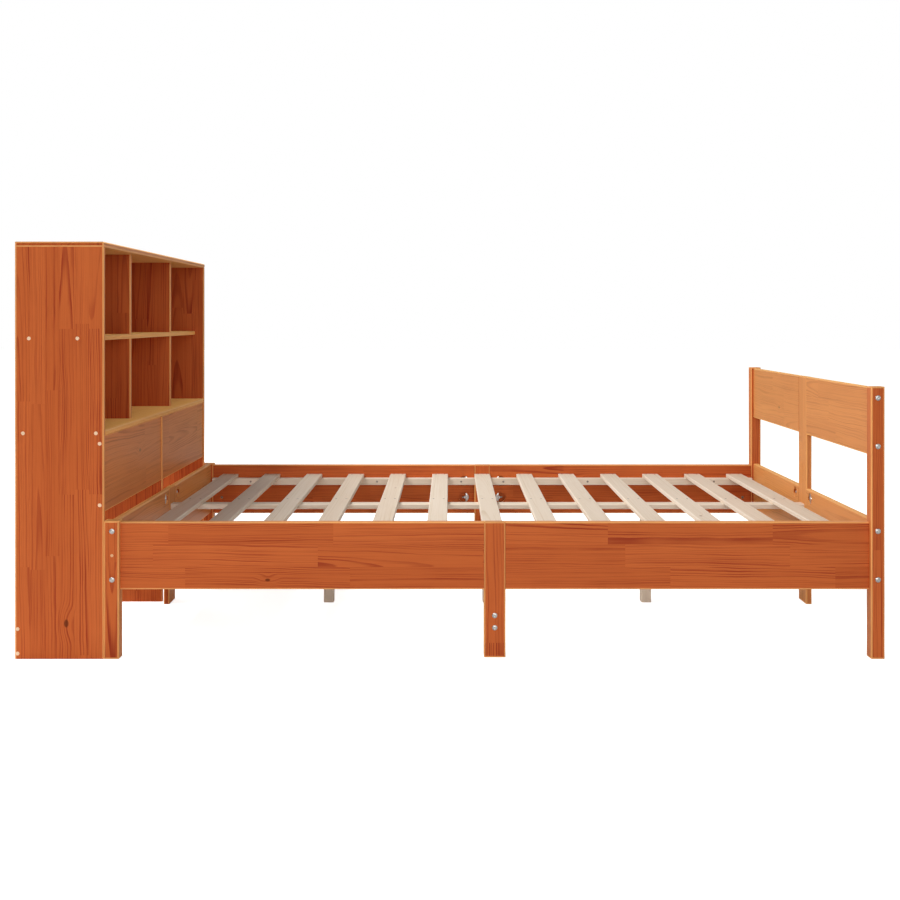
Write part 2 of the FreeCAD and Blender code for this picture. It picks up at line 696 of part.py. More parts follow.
def joined(name, shapes):
    """Shapes run into one another where they meet."""
    group = doc.addObject("Part::MultiFuse", name)
    group.Shapes = shapes
    group.Refine = False
    doc.recompute()
    return group


def compound(label, pieces, keep=False):
    """Pieces that stay separate solids in one group."""
    group = doc.addObject("Part::Compound", label)
    group.Label = label
    group.Links = pieces
    doc.recompute()
    if keep:
        nodes.append(group)
    return group


def opposite(way):
    return {"+": "-", "-": "+"}[way[0]] + way[1]


def bolt(seat, way, length):
    """A bolt whose head sits on the seat point and whose shank runs along the way."""
    return [bar(seat, way, "bolt_diameter", length),
            bar(seat, opposite(way), "bolt_head_diameter", "bolt_head_height", "Head")]


def both_sides(near, name):
    twin = mirrored(name, near, keep=False)
    return [near, twin]


# Bolts of the near side: through the corner posts into the end boards, through the corner posts
# into the rail ends, and through the middle leg into its block.
shanks = []
nuts = []
nut_holes = []
ends = [("x_head_board + end_board_thickness / 2", "head_leg_width", end_bolt_heights),
        ("x_foot_board + end_board_thickness / 2", "foot_post_width",
         end_bolt_heights + panel_bolt_heights)]
for x, width, heights in ends:
    for height in heights:
        shanks += bolt((x, "y_near", height), "+y", width + " + nut_bore_reach")
        nuts.append(bar((x + " - cross_nut_length / 2",
                         "y_near + " + width + " + cross_nut_distance", height),
                        "+x", "cross_nut_diameter", "cross_nut_length", "Nut"))
        nut_holes.append(bar((x, "y_near + " + width, height), "+y",
                             "thread_hole", "nut_bore_reach", "Thread"))
rail_y = "y_rail_outer + rail_bolt_inset"
rail_ends = [("x_front + counterbore_depth", "x_rail_head", "+x", "head_leg_depth", "+"),
             ("x_end - counterbore_depth", "x_post", "-x", "foot_post_depth", "-")]
for seat_x, rail_x, way, depth, sign in rail_ends:
    for height in rail_bolt_heights:
        shanks += bolt((seat_x, rail_y, height), way, depth + " - counterbore_depth + nut_bore_reach")
        nuts.append(bar((rail_x + sign + " cross_nut_distance",
                         rail_y + " - cross_nut_length / 2", height),
                        "+y", "cross_nut_diameter", "cross_nut_length", "Nut"))
        nut_holes.append(bar((rail_x, rail_y, height), way,
                             "thread_hole", "nut_bore_reach", "Thread"))
leg_stack = "side_rail_thickness + leg_block_thickness"
for height in leg_bolt_heights:
    shanks += bolt(("x_middle", "y_rail_outer", height), "+y", leg_stack + " - 2 * bolt_tail")
    nuts.append(bar(("x_middle", "y_rail_outer + " + leg_stack, height), "-y",
                    "sleeve_nut_diameter", "sleeve_nut_length", "Nut"))
    nut_holes.append(bar(("x_middle", "y_rail_outer", height), "+y",
                         "thread_hole", leg_stack + " - bolt_tail", "Thread"))
near_bolts = joined("NearBolts", shanks)
beam_z = "z_beam + beam_height / 2"
beam_bolts = joined(
    "BeamBolts",
    bolt(("x_head_board", "0", beam_z), "+x", "end_board_thickness + beam_bolt_reach")
    + bolt(("x_foot_board + end_board_thickness", "0", beam_z), "-x",
           "end_board_thickness + beam_bolt_reach"))
compound("frame_bolts", both_sides(near_bolts, "FarBolts") + [beam_bolts], keep=True)

near_nuts = doc.addObject("Part::Cut", "NearNuts")
near_nuts.Base = joined("NutBlanks", nuts)
near_nuts.Tool = joined("NutThreads", nut_holes)
compound("cross_nuts", both_sides(near_nuts, "FarNuts"), keep=True)


def half_moon_pair(centre, along, into):
    """A rod through a middle leg and the two half moons that draw the boards against it. The
    centre is the rod's middle, along is the axis it runs on, and into the way into the recesses.
    Gives the rod, the moons' round blanks, the blocks that trim them to a flat and the thread."""
    slot = "xyz".index(along)
    deep = "xyz".index(into[1])
    half_leg = {"x": "side_leg_width / 2", "y": "middle_post_width / 2"}[along]
    start = list(centre)
    start[slot] += " - %s - fitting_distance - rod_tail" % half_leg
    length = "2 * (%s + fitting_distance + rod_tail)" % half_leg
    rod = bar(start, "+" + along, "bolt_diameter", length, "Rod")
    thread = bar(start, "+" + along, "thread_hole", length, "Thread")
    blanks = []
    trims = []
    for sign in "-+":
        seat = list(centre)
        seat[slot] += " %s (%s + fitting_distance)" % (sign, half_leg)
        seat[deep] += " %s fitting_recess_depth / 2" % into[0]
        blanks.append(bar(seat, opposite(into), "fitting_recess_diameter - half_moon_clearance",
                          "half_moon_thickness", "Moon", MOON_SIDES))
        trim = doc.addObject("Part::Box", "Trim")
        for side_name in ("Length", "Width", "Height"):
            trim.setExpression(side_name, tied("fitting_recess_diameter"))
        corner = [text + " - fitting_recess_diameter / 2" for text in centre]
        corner[slot] = centre[slot] + " %s (%s + fitting_distance - half_moon_offset)" % (sign, half_leg)
        if sign == "-":
            corner[slot] += " - fitting_recess_diameter"
        place(trim, corner)
        trims.append(trim)
    return rod, blanks, trims, thread


def fitting_group(name, pairs):
    """The half moons of some pairs, trimmed and threaded, with their rods."""
    trimmed = doc.addObject("Part::Cut", name + "Trimmed")
    trimmed.Base = joined(name + "Blanks", sum((pair[1] for pair in pairs), []))
    trimmed.Tool = joined(name + "Trims", sum((pair[2] for pair in pairs), []))
    moons = doc.addObject("Part::Cut", name + "Moons")
    moons.Base = trimmed
    moons.Tool = joined(name + "Threads", [pair[3] for pair in pairs])
    return compound(name + "Fittings", [moons] + [pair[0] for pair in pairs])


side_pairs = [half_moon_pair(("x_middle", "y_rail_inner - rod_inset", height), "x", "-y")
              for height in rail_bolt_heights]
end_pairs = [half_moon_pair(("x_head_board + end_board_thickness - rod_inset", "0", height), "y", "-x")
             for height in end_bolt_heights]
near_side = fitting_group("Side", side_pairs)
head_end = fitting_group("Head", end_pairs)
foot_end = mirrored("FootFittings", head_end, keep=False, plane="x")
compound("half_moon_fittings", both_sides(near_side, "FarFittings") + [head_end, foot_end], keep=True)

# Screws through the side panels into the shelves, headboard panels and bottom rail, each under a
# flat cap.
near_screws = []
near_caps = []
for across, up in cap_points:
    x = "x_back + " + across
    near_screws.append(bar((x, "y_near + screw_sink", up), "+y", "panel_screw_diameter",
                           "panel_screw_length", "Screw", SCREW_SIDES))
    near_caps.append(bar((x, "y_near", up), "-y", "cap_diameter", "cap_height", "Cap"))
for label, pieces in (("panel_screws", near_screws), ("screw_caps", near_caps)):
    near_group = compound("Near" + label, pieces)
    compound(label, both_sides(near_group, "Far" + label), keep=True)

# Dowels: those of the near side with their twins, then those on the middle plane. Each ends a
# little short of its bores, but for the one that shows as a plug in the head leg.
near_dowels = [bar(("x_head_board + end_board_thickness / 2", "y_near", board_middle), "+y",
                   "dowel_diameter", "head_leg_width + dowel_reach - bore_end_gap", "Dowel")]
for height in panel_dowel_heights:
    near_dowels.append(bar(("x_foot_board + end_board_thickness / 2",
                            "y_post - dowel_reach + bore_end_gap", height),
                           "+y", "dowel_diameter", "2 * (dowel_reach - bore_end_gap)", "Dowel"))
for along, across in top_dowel_points:
    near_dowels.append(bar(("x_back + " + along, "y_near + " + across,
                            "z_top_board - small_dowel_reach + bore_end_gap"),
                           "+z", "small_dowel_diameter",
                           "small_dowel_reach + top_board_thickness / 2 - 2 * bore_end_gap", "Dowel"))
for across, up in bed_dowel_points:
    near_dowels.append(bar(("x_front - small_dowel_reach + bore_end_gap", "y_near + " + across, up),
                           "+x", "small_dowel_diameter",
                           "2 * (small_dowel_reach - bore_end_gap)", "Dowel"))
middle_dowels = []
for across, up in headboard_dowel_points:
    middle_dowels.append(bar(("x_headboard + " + across,
                              "y_support - small_dowel_reach + bore_end_gap", "z_headboard + " + up),
                             "+y", "small_dowel_diameter",
                             "centre_support_thickness + 2 * (small_dowel_reach - bore_end_gap)",
                             "Dowel"))
for along, across in support_dowel_points:
    middle_dowels.append(bar(("x_carcass + " + along, "0",
                              "lower_shelf_underside - small_dowel_reach + bore_end_gap"),
                             "+z", "small_dowel_diameter",
                             "small_dowel_reach + lower_shelf_thickness / 2 - 2 * bore_end_gap",
                             "Dowel"))
near_group = compound("NearDowels", near_dowels)
compound("dowels", both_sides(near_group, "FarDowels") + middle_dowels, keep=True)

# ---------------------------------------------------------------- checks and files

doc.recompute()
for thing in doc.Objects:
    if "Invalid" in thing.State or "Error" in thing.State:
        raise RuntimeError("%s failed" % thing.Label)
for node in nodes:
    if node.Shape.isNull() or not node.Shape.isValid():
        raise RuntimeError("%s has no valid shape" % node.Label)
os.makedirs("parts", exist_ok=True)
for node in nodes:
    node.Shape.exportStep("parts/%s.step" % node.Label)
whole = Part.makeCompound([node.Shape for node in nodes]).BoundBox
print("%d nodes, %.1f x %.1f x %.1f mm" % (len(nodes), whole.XLength, whole.YLength, whole.ZLength))
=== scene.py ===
import math
import random
from collections import namedtuple

import bmesh
import bpy
from mathutils import Matrix, Vector


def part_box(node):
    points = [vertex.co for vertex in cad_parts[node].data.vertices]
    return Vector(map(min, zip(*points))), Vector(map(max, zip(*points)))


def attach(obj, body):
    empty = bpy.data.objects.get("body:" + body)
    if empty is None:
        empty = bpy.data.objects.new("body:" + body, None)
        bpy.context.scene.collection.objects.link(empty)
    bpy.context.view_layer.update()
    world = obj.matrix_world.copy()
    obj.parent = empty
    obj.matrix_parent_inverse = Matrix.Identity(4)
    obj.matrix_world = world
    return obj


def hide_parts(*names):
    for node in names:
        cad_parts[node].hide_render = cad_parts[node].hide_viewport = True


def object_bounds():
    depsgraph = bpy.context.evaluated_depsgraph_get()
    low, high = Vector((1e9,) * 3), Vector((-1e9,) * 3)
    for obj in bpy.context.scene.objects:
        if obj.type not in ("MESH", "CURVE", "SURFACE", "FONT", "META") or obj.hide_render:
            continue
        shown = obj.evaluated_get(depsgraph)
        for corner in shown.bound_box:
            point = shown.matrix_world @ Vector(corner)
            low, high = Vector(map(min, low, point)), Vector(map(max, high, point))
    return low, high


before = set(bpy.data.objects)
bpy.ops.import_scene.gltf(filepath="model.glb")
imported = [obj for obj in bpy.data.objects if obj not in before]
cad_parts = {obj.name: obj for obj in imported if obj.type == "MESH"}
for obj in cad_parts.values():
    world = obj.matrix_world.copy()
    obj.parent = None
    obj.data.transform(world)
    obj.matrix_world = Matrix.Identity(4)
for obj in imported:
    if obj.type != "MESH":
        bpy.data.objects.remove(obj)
cad_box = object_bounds()

MM = 0.001
WELD = 0.001 * MM
WHITE = (1.0, 1.0, 1.0, 1.0)

# ---------------------------------------------------------------- boards and their grain

# Each board: the axis its grain runs along and the axis its glued strips lie side by side on.
STAINED_BOARDS = {
    "bookcase_side_near": "zx", "bookcase_side_far": "zx",
    "bookcase_divider_near": "zx", "bookcase_divider_far": "zx",
    "bookcase_centre_support": "zx",
    "bookcase_top": "yx", "bookcase_lower_shelf": "yx", "bookcase_middle_shelf": "yx",
    "headboard_panel_near": "yz", "headboard_panel_far": "yz",
    "bookcase_bottom_rail": "yz", "bookcase_back": "yz",
    "head_leg_near": "zx", "head_leg_far": "zx", "head_leg_middle": "zy",
    "foot_post_near": "zx", "foot_post_far": "zx", "foot_post_middle": "zy",
    "head_board_near": "yz", "head_board_far": "yz",
    "foot_board_near": "yz", "foot_board_far": "yz",
    "foot_panel_near": "yz", "foot_panel_far": "yz",
    "side_rail_near_head": "xz", "side_rail_near_foot": "xz",
    "side_rail_far_head": "xz", "side_rail_far_foot": "xz",
    "side_leg_near": "zx", "side_leg_far": "zx",
    "leg_block_near": "zx", "leg_block_far": "zx",
}
BARE_BOARDS = {
    "slat_batten_near_head": "xz", "slat_batten_near_foot": "xz",
    "slat_batten_far_head": "xz", "slat_batten_far_foot": "xz",
    "centre_beam": "xy",
    "centre_leg_head": "zx", "centre_leg_middle": "zx", "centre_leg_foot": "zx",
}
SLATS = ["slat_%02d" % number for number in range(1, 14)]
BARE_BOARDS.update({slat: "yx" for slat in SLATS})

# Boards whose end edges are painted light too, as rubbed wear and a painted highlight.
WORN_AND_LIT_ENDS = {"bookcase_top", "foot_post_near", "foot_post_far", "foot_post_middle",
              "head_leg_near", "head_leg_far", "side_leg_near", "side_leg_far"}

# Knots: place along the grain and across the strips, from the board's low corner, and radius, in
# metres.
KNOTS = {
    "side_rail_near_head": [(0.375, 0.024, 0.0045)],
    "side_rail_far_foot": [(0.31, 0.12, 0.005)],
    "bookcase_side_near": [(0.09, 0.13, 0.007)],
    "bookcase_side_far": [(0.62, 0.06, 0.006)],
    "foot_panel_far": [(0.22, 0.06, 0.005)],
    "headboard_panel_near": [(0.36, 0.12, 0.006)],
    "slat_05": [(0.83, 0.034, 0.004)],
    "slat_11": [(0.27, 0.018, 0.005)],
}


# ---------------------------------------------------------------- materials

def srgb(red, green, blue):
    """A colour given as 0 to 255 values, as linear light."""
    def linear(value):
        share = value / 255
        return share / 12.92 if share <= 0.04045 else ((share + 0.055) / 1.055) ** 2.4
    return (linear(red), linear(green), linear(blue), 1.0)


class Shader:
    """A material and short ways to add its nodes. A value is a number, a colour or a socket."""

    def __init__(self, name):
        self.material = bpy.data.materials.new(name)
        self.material.use_nodes = True
        self.tree = self.material.node_tree
        self.surface = self.tree.nodes["Principled BSDF"]

    def put(self, socket, value):
        if isinstance(value, bpy.types.NodeSocket):
            self.tree.links.new(value, socket)
        else:
            socket.default_value = value

    def coat(self, values):
        """Gives the surface its values, each by the name of its input."""
        for name, value in values.items():
            self.put(self.surface.inputs[name], value)

    def node(self, kind, values=(), **settings):
        made = self.tree.nodes.new(kind)
        for name, value in settings.items():
            setattr(made, name, value)
        for index, value in dict(values).items():
            self.put(made.inputs[index], value)
        return made

    def object_place(self):
        return self.node("ShaderNodeTexCoord").outputs["Object"]

    def math(self, operation, *values, clamp=False):
        made = self.node("ShaderNodeMath", dict(enumerate(values)), operation=operation)
        made.use_clamp = clamp
        return made.outputs[0]

    def place(self, x, y, z=0.0):
        return self.node("ShaderNodeCombineXYZ", {0: x, 1: y, 2: z}).outputs[0]

    def length(self, vector):
        made = self.node("ShaderNodeVectorMath", {0: vector}, operation="LENGTH")
        return made.outputs["Value"]

    def noise(self, vector, scale=1.0, detail=2.0, roughness=0.5):
        made = self.node("ShaderNodeTexNoise", {"Vector": vector, "Scale": scale, "Detail": detail,
                                                "Roughness": roughness})
        return made.outputs["Fac"]

    def lot(self, *values):
        """Random numbers from 0 to 1 that stay the same for the same whole numbers."""
        return self.node("ShaderNodeTexWhiteNoise", {"Vector": self.place(*values)}).outputs

    def span(self, value, low, high, to_low=0.0, to_high=1.0, smooth=False):
        """Carries the range from low to high over to the range from to_low to to_high."""
        made = self.node("ShaderNodeMapRange", {0: value, 1: low, 2: high, 3: to_low, 4: to_high})
        if smooth:
            made.interpolation_type = "SMOOTHSTEP"
        return made.outputs[0]

    def spread(self, noise, to_low, to_high):
        """Carries the range in which most of a noise lies over to that from to_low to to_high."""
        return self.span(noise, 0.3, 0.7, to_low, to_high)

    def mix(self, share, first, second, blend="MIX"):
        made = self.node("ShaderNodeMix", data_type="RGBA", blend_type=blend)
        self.put(made.inputs[0], share)
        self.put(made.inputs[6], first)
        self.put(made.inputs[7], second)
        return made.outputs[2]

    def bump(self, height, strength, distance):
        values = {"Height": height, "Strength": strength, "Distance": distance}
        return self.node("ShaderNodeBump", values).outputs[0]


# How far a face's unit normal points along the grain where end grain begins and where it is full.
END_GRAIN_FACING = (0.8, 0.95)


class BoardSpace:
    """Where a point lies in its board: along the grain, across the strips and through the board,
    in metres from the board's low corner, how near it is to a long edge, and its face's way."""

    def __init__(self, shader, node, grain, across):
        low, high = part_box(node)
        through = ({"x", "y", "z"} - {grain, across}).pop()
        axes = ["xyz".index(letter) for letter in (grain, across, through)]
        parts = shader.node("ShaderNodeSeparateXYZ", {0: shader.object_place()}).outputs
        self.along, self.beside, self.into = (
            shader.math("SUBTRACT", parts[axis], low[axis]) for axis in axes)
        length, self.width, thickness = (high[axis] - low[axis] for axis in axes)
        from_end, from_side, from_face = (
            shader.math("MINIMUM", part, shader.math("SUBTRACT", extent, part))
            for part, extent in ((self.along, length), (self.beside, self.width),
                                 (self.into, thickness)))
        self.from_edge = shader.math("MAXIMUM", from_side, from_face)
        if node in WORN_AND_LIT_ENDS:
            nearer = shader.math("MINIMUM", from_side, from_face)
            self.from_edge = shader.math("MINIMUM", self.from_edge,
                                         shader.math("MAXIMUM", from_end, nearer))
        normal = shader.node("ShaderNodeTexCoord").outputs["Normal"]
        size = shader.node("ShaderNodeVectorMath", {0: normal}, operation="ABSOLUTE").outputs[0]
        self.facing = shader.node("ShaderNodeSeparateXYZ", {0: size}).outputs
        self.end_grain = shader.span(self.facing[axes[0]], *END_GRAIN_FACING)


# The largest part of a face's unit normal, on a flat face and on a chamfer.
FLAT_FACING, CHAMFER_FACING = 0.97, 0.90
# How far from an edge the wood is painted fully light, as rubbed wear and a painted highlight, and
# where that light ends.
WORN_AND_LIT_FULL, WORN_AND_LIT_END = 2.8 * MM, 4.2 * MM


def worn_and_highlit_edge(shader, board):
    """1 on the long edges and chamfers, painted light as rubbed wear and painted highlight; 0 on
    flat faces.
    """
    x, y, z = board.facing
    widest = shader.math("MAXIMUM", shader.math("MAXIMUM", x, y), z)
    chamfer = shader.span(widest, FLAT_FACING, CHAMFER_FACING)
    worn_and_lit = shader.span(board.from_edge, WORN_AND_LIT_END, WORN_AND_LIT_FULL, smooth=True)
    return shader.math("MAXIMUM", chamfer, worn_and_lit)


KNOT_SLENDERNESS = 0.55         # a knot's width over its length along the grain
KNOT_CORE = 0.55                # the wholly dark share of its radius
KNOT_REACH = (5.0, 0.5)         # where the rings begin to swing round it and swing most, in radii
KNOT_SWING = 1.8                # how far they swing there, in radii
KNOT_DARKNESS = 0.85


def knot_marks(shader, board, knots):
    """How strongly a point belongs to a knot, and how far the rings swing round it."""
    heart, swing = 0.0, 0.0
    for along, beside, radius in knots:
        distance = shader.length(shader.place(
            shader.math("MULTIPLY", shader.math("SUBTRACT", board.along, along), KNOT_SLENDERNESS),
            shader.math("SUBTRACT", board.beside, beside)))
        dark = shader.span(distance, radius, radius * KNOT_CORE, smooth=True)
        begins, full = (radius * reach for reach in KNOT_REACH)
        bent = shader.span(distance, begins, full, 0.0, radius * KNOT_SWING, smooth=True)
        heart = shader.math("MAXIMUM", heart, dark)
        swing = shader.math("MAXIMUM", swing, bent)
    return heart, swing


# The block of wood that a point lies in: its strip's width and number, how far along the block
# the point is, and four random numbers from 0 to 1 for its tone and for the place of its heart.
Block = namedtuple("Block", "strip number from_joint tone aside lean depth")
STRIP_SHIFT = 7.0               # how far a strip's joints can be shifted, in blocks


def glued_block(shader, board, strip_wish, block_length, seed):
    """The block round a point of a board that is glued up from strips of finger-jointed blocks."""
    strip = board.width / max(1, round(board.width / strip_wish))
    number = shader.math("FLOOR", shader.math("DIVIDE", board.beside, strip))
    shift = shader.math("MULTIPLY", shader.lot(number, seed, 0.0)["Value"], STRIP_SHIFT)
    place = shader.math("ADD", shader.math("DIVIDE", board.along, block_length), shift)
    lot = shader.lot(number, shader.math("FLOOR", place), seed)
    aside, lean, depth = shader.node("ShaderNodeSeparateColor", {0: lot["Color"]}).outputs
    return Block(strip, number, shader.math("FRACT", place), lot["Value"], aside, lean, depth)


SWAY_ACROSS = 10.0              # how often the rings' sway changes in a metre across the grain
BLOCKS_APART = 40.0             # how far apart in the noise two blocks can lie
HEART_DEPTH = (0.010, 0.06)     # how far behind the board's low face the rings' heart can lie
LATE_BEGINS = (0.35, 0.88)      # where in a year's ring the late wood rises to its darkest
LATE_ENDS = (1.0, 0.92)         # and falls off again
CROWDING = 70.0                 # how often the rings' spacing changes in a metre across them
YEAR_CHANGE = 160.0             # and how often their darkness does
PALEST_YEAR = 0.15              # the share of its darkness that the palest ring keeps
FAINTEST = 0.35                 # and that rings keep where they fade most along the board


def late_wood(shader, board, block, swing, start, look):
    """How much of the dark late wood a point has. The rings run round a heart that lies beside
    and behind each block, and leans a little along it."""
    sway_place = shader.place(
        shader.math("MULTIPLY_ADD", board.along, look["sway_along"], start),
        shader.math("MULTIPLY", board.beside, SWAY_ACROSS),
        shader.math("MULTIPLY_ADD", block.tone, BLOCKS_APART,
                    shader.math("MULTIPLY", board.into, SWAY_ACROSS)))
    sway = shader.math("SUBTRACT", shader.noise(sway_place, detail=3.0), 0.5)
    sway = shader.math("MULTIPLY", sway, look["sway"])
    heart_beside = shader.math(
        "MULTIPLY_ADD", block.number, block.strip,
        shader.span(block.aside, 0, 1, -look["aside"], block.strip + look["aside"]))
    sideways = shader.math("ADD", shader.math("SUBTRACT", board.beside, heart_beside),
                           shader.math("ADD", sway, swing))
    slant = shader.span(block.lean, 0, 1, -look["lean"], look["lean"])
    leaning = shader.math("MULTIPLY", shader.math("MULTIPLY", slant, block.from_joint),
                          look["block"])
    depth = shader.math("ADD", board.into, shader.span(block.depth, 0, 1, *HEART_DEPTH))
    radius = shader.length(shader.place(sideways, shader.math("ADD", depth, leaning)))

    # Good and poor years: the rings crowd, spread, darken and fade.
    years = shader.place(shader.math("MULTIPLY", radius, CROWDING), block.tone)
    crowded = shader.math("MULTIPLY", shader.noise(years), look["ring"] * 5)
    ring = shader.math("FRACT", shader.math("DIVIDE", shader.math("ADD", radius, crowded),
                                            look["ring"]))
    late = shader.math("MULTIPLY", shader.span(ring, *LATE_BEGINS, smooth=True),
                       shader.span(ring, *LATE_ENDS, smooth=True))
    dark_years = shader.place(shader.math("MULTIPLY", radius, YEAR_CHANGE),
                              shader.math("ADD", block.tone, 9.0))
    darkness = shader.span(shader.noise(dark_years, detail=1.0), 0.35, 0.65, PALEST_YEAR, 1.0)
    fading = shader.spread(shader.noise(sway_place, 2.3, 1.0), FAINTEST, 1.0)
    return shader.math("MULTIPLY", shader.math("MULTIPLY", late, darkness), fading)


# Noise drawn out along the grain: how often it changes in a metre along and across, its detail
# and its roughness.
FIBRE = (6.0, 420.0, 3.0, 0.6)
STREAK = (2.2, 130.0, 2.0, 0.5)
PATCH = (3.0, 22.0, 3.0, 0.55)
PORE_DEPTH = 0.6 * MM


def drawn_out_noise(shader, board, start, along, across, detail, roughness):
    """The board's own stretch of one of these noises."""
    place = shader.place(shader.math("MULTIPLY_ADD", board.along, along, start),
                         shader.math("MULTIPLY", board.beside, across),
                         shader.math("MULTIPLY", board.into, across))
    return shader.noise(place, 1.0, detail, roughness)


def pine(name, node, ways, seed, look):
    """Pine glued up from strips, each finger-jointed from blocks with rings of their own."""
    shader = Shader(name)
    board = BoardSpace(shader, node, *ways)
    start = random.Random(seed).uniform(0.0, 50.0)
    block = glued_block(shader, board, look["strip"][ways[1]], look["block"], seed)
    knot, swing = knot_marks(shader, board, KNOTS.get(node, ()))
    late = late_wood(shader, board, block, swing, start, look)

    # Fine fibre, streaks and broad patches, where the wood takes more or less colour.
    fibre, streak, patch = (
        drawn_out_noise(shader, board, start, *kind) for kind in (FIBRE, STREAK, PATCH))
    share = shader.math("MULTIPLY_ADD", late, look["late"],
                        shader.math("MULTIPLY", shader.math("SUBTRACT", fibre, 0.5), look["fibre"]))
    share = shader.math("MULTIPLY_ADD", shader.math("SUBTRACT", streak, 0.5), look["streak"], share)
    share = shader.math("MULTIPLY_ADD", shader.math("SUBTRACT", patch, 0.45), look["patch"], share,
                        clamp=True)

    wood = shader.mix(share, look["early_wood"], look["late_wood"])
    tint = shader.mix(block.tone, look["dark_block"], look["light_block"])
    wood = shader.mix(1.0, wood, tint, "MULTIPLY")
    wood = shader.mix(board.end_grain, wood,
                      shader.mix(1.0, wood, look["end_grain"], "MULTIPLY"))
    wood = shader.mix(shader.math("MULTIPLY", knot, KNOT_DARKNESS), wood, look["knot"])
    # Edges painted light: rubbed wear and a painted highlight.
    wear_and_highlight = shader.math("MULTIPLY", worn_and_highlit_edge(shader, board),
                          shader.spread(patch, 1.0, 0.75))
    wood = shader.mix(shader.math("MULTIPLY", wear_and_highlight, look["worn_and_lit"]), wood, look["worn_and_highlit_wood"])

    height = shader.math("MULTIPLY_ADD", late, 0.6, shader.math("MULTIPLY", fibre, 0.4))
    shader.coat({
        "Base Color": wood,
        "Roughness": shader.span(shader.math("ADD", late, fibre), 0.2, 1.6,
                                 look["rough"] - 0.05, look["rough"] + 0.08),
        "Specular IOR Level": look["specular"],
        "Specular Tint": look["specular_tint"],
        "Sheen Weight": look["sheen"],
        "Sheen Roughness": 0.4,
        "Sheen Tint": look["sheen_tint"],
        "Normal": shader.bump(height, look["bump"], PORE_DEPTH),
    })
    return shader.material


# A look holds the wood's colours; how strongly late wood, fibre, streaks, patches and the light
# edges, rubbed wear and painted highlight, show; about how wide a strip is, by the axis the strips
# lie side by side on, how long a block is and how wide a year's ring; how far the rings sway and
# how often in a metre; how far beside a strip their heart can lie and how far it can lean; and how
# the surface shines. All in metres.
STAINED = {
    "early_wood": srgb(202, 102, 53), "late_wood": srgb(154, 53, 31),
    "dark_block": srgb(244, 236, 230), "light_block": srgb(255, 255, 252),
    "worn_and_highlit_wood": srgb(236, 170, 104), "knot": srgb(92, 34, 16),
    "end_grain": srgb(232, 214, 200),
    "late": 1.05, "fibre": 0.8, "streak": 0.5, "patch": 0.55, "worn_and_lit": 0.9,
    "strip": {"x": 0.037, "y": 0.04, "z": 0.057}, "block": 0.42, "ring": 5.4 * MM,
    "sway": 0.024, "sway_along": 3.1, "aside": 0.07, "lean": 0.035,
    "rough": 0.38, "specular": 0.24, "specular_tint": srgb(255, 206, 146),
    "sheen": 0.65, "sheen_tint": srgb(255, 200, 112), "bump": 0.3,
}
# Boards painted paler and more golden, a painted light for the strong light from the left on their
# faces towards the head end; their sheen is raised too.
PAINTED_LIGHT_GOLDEN = dict(STAINED, early_wood=srgb(213, 132, 78), late_wood=srgb(168, 88, 52), sheen=1.0)
# The shelves shine most, seen along their faces, and are painted paler and more golden, a painted
# light for the light that falls on them through the open front.
PAINTED_LIGHT_SHELF = dict(STAINED, early_wood=srgb(248, 168, 84), late_wood=srgb(214, 126, 58),
             sheen=1.0, sheen_tint=srgb(255, 206, 120))
# The thin back is one veneered sheet, so it has no strips and no joints.
VENEER = dict(STAINED, strip={"x": 2.0, "y": 2.0, "z": 2.0}, block=6.0, aside=0.2, lean=0.01,
              ring=7 * MM)
OWN_LOOKS = {
    "bookcase_back": VENEER,
    "bookcase_lower_shelf": PAINTED_LIGHT_SHELF, "bookcase_middle_shelf": PAINTED_LIGHT_SHELF,
    "foot_panel_near": PAINTED_LIGHT_GOLDEN, "foot_panel_far": PAINTED_LIGHT_GOLDEN,
    "foot_board_near": PAINTED_LIGHT_GOLDEN, "foot_board_far": PAINTED_LIGHT_GOLDEN, "foot_post_middle": PAINTED_LIGHT_GOLDEN,
}
BARE = {
    "early_wood": srgb(232, 217, 198), "late_wood": srgb(206, 182, 150),
    "dark_block": srgb(246, 242, 238), "light_block": srgb(255, 255, 255),
    "worn_and_highlit_wood": srgb(238, 226, 208), "knot": srgb(142, 96, 60),
    "end_grain": srgb(236, 226, 212),
    "late": 0.5, "fibre": 0.45, "streak": 0.4, "patch": 0.6, "worn_and_lit": 0.4,
    "strip": {"x": 0.12, "y": 0.12, "z": 0.12}, "block": 2.0, "ring": 4.2 * MM,
    "sway": 0.014, "sway_along": 1.6, "aside": 0.07, "lean": 0.03,
    "rough": 0.6, "specular": 0.25, "specular_tint": srgb(255, 255, 255),
    "sheen": 0.0, "sheen_tint": srgb(255, 255, 255), "bump": 0.25,
}


def steel(name, dark, light):
    """Zinc-plated steel, slightly mottled between a darker and a lighter grey."""
    shader = Shader(name)
    mottle = shader.noise(shader.object_place(), 900.0, 3.0)
    shader.coat({"Base Color": shader.mix(mottle, dark, light), "Metallic": 1.0,
                 "Roughness": shader.spread(mottle, 0.22, 0.36)})
    return shader.material


def plastic(name):
    """Cream moulded plastic of the screw caps."""
    shader = Shader(name)
    speckle = shader.noise(shader.object_place(), 1400.0, 2.0)
    shader.coat({"Base Color": shader.mix(speckle, srgb(238, 200, 160), srgb(248, 216, 180)),
                 "Roughness": shader.spread(speckle, 0.35, 0.45)})
    return shader.material


